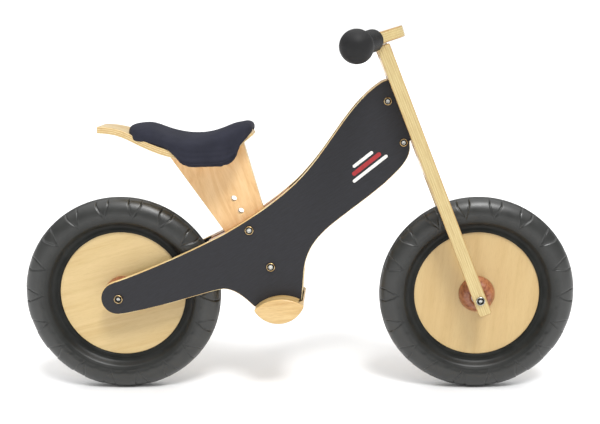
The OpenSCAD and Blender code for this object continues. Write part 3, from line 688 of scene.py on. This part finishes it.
def heads_in(node, head_r, side):
    """Outer end of each of a node's screws on one side: the two stand at opposite corners of
    its box in the side view, or at the same place when the box is one head wide."""
    points = positions(nodes[node].data)
    low, high = points.min(axis=0), points.max(axis=0)
    places = []
    for x, z in {(round(low[0] + head_r, 5), round(high[2] - head_r, 5)),
                 (round(high[0] - head_r, 5), round(low[2] + head_r, 5))}:
        near = points[np.hypot(points[:, 0] - x, points[:, 2] - z) < 1.1 * head_r]
        y = near[:, 1].max() if side > 0 else near[:, 1].min()
        places.append((x, y, z))
    return sorted(places)


# Node, sides, head radius and height, key, shank radius and length, plating
screw_kinds = [
    ("seat_bolts", (-1,), 7.0, 3.4, 5, 3.0, 44, brass_plate),
    ("seat_bolt_nuts", (1,), 7.0, 3.4, 5, 4.4, 18, brass_plate),
    ("head_bolts", (-1,), 6.25, 3.0, 4, 3.0, 29, brass_plate),
    ("head_bolt_nuts", (1,), 6.25, 3.0, 4, 4.4, 15, brass_plate),
    ("rear_axle_bolts", (-1, 1), 7.0, 3.4, 5, 2.4, 15, brass_plate),
    ("front_axle_bolts", (-1, 1), 7.0, 3.4, 5, 2.4, 15, nickel),
]
for node, sides, head_r, head_h, key, shank_r, shank_l, plate in screw_kinds:
    grids = []
    for side in sides:
        for x, y, z in heads_in(node, head_r * MM, side):
            at = (x, y - side * head_h * MM, z)
            grids += screw_grids(at, (0, side, 0), head_r, head_h, key, shank_r, shank_l)
    piece_of(grid_mesh(node + "_plated", grids, 40), node_body[node],
             [plate, recess_painted_shade, nickel], [node])

# %% [markdown]
# ## The grips
# Soft rubber sleeves end in a big round safety ball. The surface is turned about the
# handle: a collar with a rolled edge, a sleeve with shallow finger rings, and the
# ball, joined by a smooth waist.

# %% Grips
bar_low = np.array(joints["steering"]["pos_m"]) + 0.416 * steer_axis
sweep = math.radians(16)
grip_back, grip_up, grip_root = -12, 8.5, 62


def grip_grid(side):
    """Turned sleeve: closed section from the collar over the ball and back up the bore."""
    root = bar_low + (grip_back * bar_forward + grip_up * bar_up) * MM
    root = root + np.array([0, side * grip_root, 0]) * MM
    axis = -math.sin(sweep) * bar_forward + math.cos(sweep) * np.array([0, side, 0])
    collar = np.concatenate([
        bezier((9, 0), (15, -0.2), (16.5, 0.6), (16.5, 3), 5),
        bezier((16.5, 3), (16.5, 5), (15.9, 5), (15.8, 7), 5)])
    sleeve_y = np.linspace(7, 66, 60)
    finger_ring = 0.35 * np.cos((sleeve_y - 7) * 2 * math.pi / 5.9)
    sleeve = np.stack([15.7 + finger_ring, sleeve_y], axis=1)
    waist = bezier((16.0, 66), (16.2, 70), (17.3, 73), (19.0, 78.2), 5)
    turn = np.linspace(math.radians(128), 0, 26)
    ball = np.stack([24 * np.sin(turn), 93 + 24 * np.cos(turn)], axis=1)
    section = np.concatenate([[(0.0, 0.4)], collar, sleeve[1:], waist[1:], ball])
    return turned(section[:, 0] * MM, section[:, 1] * MM, root, axis, 96)


for word, side in (("right", -1), ("left", 1)):
    mesh = grid_mesh(f"grip_{word}_rubber", [(grip_grid(side), False, True)], 50)
    piece_of(mesh, "fork", grip_rubber, ["grip_" + word])

# %% [markdown]
# ## The seat board
# The seat stands on a bent plywood board, pressed in a mould, so its layers follow the
# bend. The depth of each point under the board's curve is stored as an attribute,
# which the layered edge reads in place of a straight direction.

# %% Seat board
seat_x0 = joints["rear_wheel_spin"]["pos_m"][0] / MM
board_low = np.concatenate([
    bezier((-25, 407), (10, 407), (25, 395), (48, 387), 10),
    bezier((48, 387), (75, 377.5), (95, 371), (125, 370), 8),
    bezier((125, 370), (160, 368.5), (176, 374), (192, 389), 8),
    bezier((192, 389), (199, 395.5), (204, 400), (210, 404), 4, last=True)])
board_slope = np.gradient(board_low[:, 1], board_low[:, 0])
seat_board = rounded("seat_board", [veneer_seat, seat_edge], 1.2, lambda n: np.abs(n[:, 2]) < 0.6)
points = positions(seat_board.data)
board_x = points[:, 0] / MM - seat_x0
under = np.interp(board_x, board_low[:, 0], board_low[:, 1])
lean = np.cos(np.arctan(np.interp(board_x, board_low[:, 0], board_slope)))
depth = seat_board.data.attributes.new("ply_depth", "FLOAT", "POINT")
depth.data.foreach_set("value", ((points[:, 2] / MM - under) * lean * MM).astype(np.float32))
print("seat board depth:", round(float(((points[:, 2] / MM - under) * lean).max()), 1), "mm")

# %% [markdown]
# ## The saddle
# The saddle is foam under stretch cloth: two humps, a dip for the rider, and side
# flaps that hang over the board. It starts as a lofted saddle a little smaller than the
# real one. A cloth simulation then blows it up softly, as the foam fills its
# cover, each point's travel is capped, and one subdivision smooths it.
# The section at each place along the seat is: crown, rounded shoulder, side, hem, up the
# inside of the flap, and across on the board.

# %% Saddle loft
crown = np.concatenate([
    bezier((19, 402), (17, 420), (24, 425), (36, 424.5), 8),
    bezier((36, 424.5), (60, 423), (70, 404), (116, 403), 12),
    bezier((116, 403), (150, 402.5), (172, 418), (193, 427.5), 10),
    bezier((193, 427.5), (203, 431), (211, 424), (210, 414), 6, last=True)])
hem = np.concatenate([
    bezier((54, 400), (76, 391), (90, 386), (102, 369), 8),
    bezier((102, 369), (110, 357), (128, 360), (156, 360), 8),
    bezier((156, 360), (172, 360), (187, 366), (190, 388), 8),
    bezier((190, 388), (192, 396), (199, 402), (210, 414), 8, last=True)])
plan = np.concatenate([
    bezier((20, 0), (20, 34), (30, 50), (56, 55), 14),
    bezier((56, 55), (76, 60), (80, 70), (110, 70), 10),
    bezier((110, 70), (158, 70), (158, 46), (194, 40), 10),
    bezier((194, 40), (207, 37), (211, 22), (211, 0), 14, last=True)])


def seat_lines(x, shrink):
    """Crown, hem, board top and half width at places x along the seat, each drawn in."""
    top = np.interp(x, crown[:, 0], crown[:, 1]) - shrink
    board_top = np.interp(x, board_low[:, 0],
                          board_low[:, 1] + 10 / np.cos(np.arctan(board_slope))) + 0.5
    low = np.minimum(np.interp(x, hem[:, 0], hem[:, 1]) - 1.0, board_top)
    wide = np.interp(x, plan[:, 0], plan[:, 1]) - shrink
    return top, low, board_top, np.maximum(wide, 0.5)


def saddle_grid(shrink=2.0, stations=72):
    """Rings of a closed section at cosine-spaced stations, closed by a point at each end."""
    run = (1 - np.cos(np.linspace(0, math.pi, stations))) / 2
    x = 20.3 + shrink + (210.7 - 20.3 - 2 * shrink) * run
    top, low, board_top, wide = (line[:, None] for line in seat_lines(x, shrink))
    drop = np.minimum(14.0, 0.6 * (top - np.minimum(board_top, top - 4)))
    shoulder = top - drop
    turn = np.linspace(0, math.pi / 2, 16)[None, :]
    y_top = wide * np.sin(turn) ** 0.75
    z_top = shoulder + drop * np.cos(turn) ** 0.75
    step = np.linspace(0, 1, 9)[None, 1:]
    y_side = wide + 0 * step
    z_side = shoulder + (low - shoulder) * step
    flap = np.minimum(9.0, 0.5 * wide)
    y_hem = wide - flap * step
    z_hem = low + 0 * step
    y_in = wide - flap + 0 * step
    z_in = low + (board_top - low) * step
    y_base = (wide - flap) * (1 - step)
    z_base = board_top + 0 * step
    y = np.concatenate([y_top, y_side, y_hem, y_in, y_base], axis=1)
    z = np.concatenate([z_top, z_side, z_hem, z_in, z_base], axis=1)
    ring_y = np.concatenate([y, -y[:, -2:0:-1]], axis=1)
    ring_z = np.concatenate([z, z[:, -2:0:-1]], axis=1)
    ring = np.stack([x[:, None] + seat_x0 + 0 * ring_y, ring_y, ring_z], axis=-1)
    ends = [np.repeat(ring[i].mean(axis=0)[None, None], ring.shape[1], axis=1) for i in (0, -1)]
    return np.concatenate([ends[0], ring, ends[1]]) * MM


saddle_mesh = grid_mesh("saddle_start", [(saddle_grid(), False, True)])
saddle = bpy.data.objects.new("seat_cushion", saddle_mesh)
bpy.context.scene.collection.objects.link(saddle)
bpy.context.view_layer.objects.active = saddle
print("saddle loft:", len(saddle_mesh.vertices), "points")

# %% [markdown]
# A 4 mm voxel remesh gives the cloth even threads to stretch. With gravity off, a
# pressure of 4 fills it in 20 frames.

# %% Fill the saddle
def settle(obj, modifier):
    """Put a modifier's result into the mesh and take the modifier off."""
    graph = bpy.context.evaluated_depsgraph_get()
    graph.update()
    result = bpy.data.meshes.new_from_object(obj.evaluated_get(graph))
    obj.modifiers.remove(modifier)
    obj.data = result


remesh = saddle.modifiers.new("even_threads", "REMESH")
remesh.mode = "VOXEL"
remesh.voxel_size = 4 * MM
settle(saddle, remesh)
before = positions(saddle.data)
cloth = saddle.modifiers.new("stretch_cover", "CLOTH")
cloth.settings.quality = 5
cloth.settings.mass = 0.3
cloth.settings.tension_stiffness = 25
cloth.settings.compression_stiffness = 25
cloth.settings.bending_stiffness = 2.0
cloth.settings.use_pressure = True
cloth.settings.uniform_pressure_force = 4
cloth.settings.effector_weights.gravity = 0
cloth.point_cache.frame_start = 1
cloth.point_cache.frame_end = 20
for step in range(1, 21):
    bpy.context.scene.frame_set(step)
settle(saddle, cloth)
bpy.context.scene.frame_set(1)
travel = positions(saddle.data) - before
length = np.linalg.norm(travel, axis=1)[:, None]
cap = 3 * MM
saddle.data.vertices.foreach_set(
    "co", (before + travel * np.minimum(1, cap / np.maximum(length, 1e-9))).ravel())
print("cover travel: mean", round(float(length.mean() / MM), 1), "mm, capped at", cap / MM)
smooth = saddle.modifiers.new("even_cover", "SMOOTH")
smooth.iterations = 2
settle(saddle, smooth)
finer = saddle.modifiers.new("finer_cover", "SUBSURF")
finer.levels = finer.render_levels = 1
settle(saddle, finer)

# %% [markdown]
# Where the cloth turns under the board's edge, the real flap shows a few long soft
# creases that run along it. They are a small wave in the surface: its height follows
# how far a point lies above the hem, and it fades out towards the shoulder and the ends.

# %% Creases along the flap
cover = positions(saddle.data)
normals = positions(saddle.data, "normal")
seat_x = cover[:, 0] / MM - seat_x0
hem_z = np.interp(seat_x, hem[:, 0], hem[:, 1])
above_hem = cover[:, 2] / MM - hem_z
side_facing = np.clip((np.abs(normals[:, 1]) - 0.55) / 0.3, 0, 1)
along_flap = np.clip((seat_x - 88) / 18, 0, 1) * np.clip((196 - seat_x) / 14, 0, 1)
band = np.clip((above_hem - 5) / 3, 0, 1) * np.clip((30 - above_hem) / 8, 0, 1)
wave = -0.55 * np.cos(above_hem * 2 * math.pi / 7.5 + 0.012 * (seat_x - 140) ** 2 / 10)
cover = cover + normals * (wave * band * along_flap * side_facing * MM)[:, None]
saddle.data.vertices.foreach_set("co", cover.ravel())
saddle.data.shade_smooth()
saddle.data.materials.clear()
saddle.data.materials.append(cover_cloth)
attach(saddle, "frame")
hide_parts("seat_cover", "seat_foam")
low, high = cover.min(axis=0) / MM, cover.max(axis=0) / MM
print("saddle:", np.round(low, 1), np.round(high, 1), len(saddle.data.polygons), "faces")

# %% [markdown]
# ## The hem and its stitches
# The cover's edge is bound with tape, 3.4 mm up, and sewn down 7 mm up. The tape is a thin
# tube along the hem, and every stitch is a small capsule that lies on the cloth.
# Both lines are found by asking the saddle's surface for its nearest point.

# %% Hem tape and stitching
cloth_tree = BVHTree.FromPolygons([Vector(p) for p in cover],
                                  [tuple(f.vertices) for f in saddle.data.polygons])


def on_cloth(x, z, side, lift_mm):
    """Points on the saddle's side at places x and heights z, lifted off the surface."""
    found = [cloth_tree.ray_cast(Vector(((a + seat_x0) * MM, side * 0.12, b * MM)),
                                 Vector((0, -side, 0))) for a, b in zip(x, z)]
    return np.array([hit + normal * lift_mm * MM for hit, normal, _, _ in found if hit])


def tube_grid(path, radius_mm, around=10):
    """Tube along a path: point(t, a) = path(t) + radius (cos a n + sin a b), with n square
    to the path and to the vertical. Its ends close to a point."""
    ahead = np.gradient(path, axis=0)
    ahead /= np.linalg.norm(ahead, axis=1)[:, None]
    n = np.cross(ahead, (0, 1, 0))
    n /= np.linalg.norm(n, axis=1)[:, None]
    b = np.cross(ahead, n)
    a = np.linspace(0, 2 * math.pi, around, endpoint=False)[None, :, None]
    size = np.full(len(path), radius_mm * MM)
    size[[0, -1]] = 0.0
    return path[:, None] + size[:, None, None] * (np.cos(a) * n[:, None] + np.sin(a) * b[:, None])


stitch_grids, tape_grids = [], []
for side in (-1, 1):
    x = np.linspace(106, 184, 40)
    row = on_cloth(x, np.interp(x, hem[:, 0], hem[:, 1]) + 7.0, side, 0.15)
    for start, end in zip(row[:-1], row[1:]):
        gap = end - start
        stitch = start + gap * np.array([0, 0.04, 0.3, 0.66, 0.7])[:, None]
        stitch_grids.append((tube_grid(stitch, 0.35, 6), False, True))
    x = np.linspace(104, 186, 70)
    hem_line = on_cloth(x, np.interp(x, hem[:, 0], hem[:, 1]) + 3.4, side, 0.1)
    tape_grids.append((tube_grid(hem_line, 0.8, 10), False, True))
piece_of(grid_mesh("seat_stitching", stitch_grids, 60), "frame", cover_trim)
piece_of(grid_mesh("seat_hem_tape", tape_grids, 60), "frame", cover_trim)

# %% [markdown]
# ## Plain stripes on the neck
# The neck carries a small screen-printed decoration. Here it is three plain rounded
# bars in white and red, each a closed slab as thick as a print, laid on the panel's
# leaning face. A bar is a row of outlines: centre, rim, rim, centre.

# %% Neck stripes
print_white = mottled("screen_print_white", "#F2F1EE", "#E2E1DC", 6, 0.7, 0.38, 0.5, 0.15)
print_red = mottled("screen_print_red", "#AC272C", "#9A2126", 6, 0.7, 0.38, 0.5, 0.15)
stripe_angle = math.radians(38)
rear_half_width = 39


def stripe_grid(middle, length, width, side, thick=0.12, around=48):
    """Capsule outline = a straight run with two half circles, laid on the panel's face,
    whose distance from the middle plane falls evenly from 39 mm at the rear axle."""
    a = np.linspace(0, 2 * math.pi, around, endpoint=False)
    u = np.sign(np.cos(a)) * (length - width) / 2 + np.cos(a) * width / 2
    v = np.sin(a) * width / 2
    rows = []
    for grow, level in ((0, 0.02), (1, 0.02), (1, thick), (0, thick)):
        x = middle[0] + grow * (u * math.cos(stripe_angle) - v * math.sin(stripe_angle))
        z = middle[1] + grow * (u * math.sin(stripe_angle) + v * math.cos(stripe_angle))
        y = side * (rear_half_width - x * math.tan(panel_lean) + level)
        rows.append(np.stack([x + seat_x0, y + 0 * x, z], axis=-1) * np.ones((around, 1)))
    return np.stack(rows) * MM


across_stripe = np.array([-math.sin(stripe_angle), math.cos(stripe_angle)])
stripe_middle = np.array([381, 360])
for paint, name, bars in ((print_white, "neck_stripes_white", ((-9, 66, 5.0), (9, 38, 5.0))),
                          (print_red, "neck_stripe_red", ((0, 54, 6.5),))):
    grids = [(stripe_grid(stripe_middle + offset * across_stripe, length, width, side),
              False, True) for offset, length, width in bars for side in (-1, 1)]
    piece_of(grid_mesh(name, grids), "frame", paint)
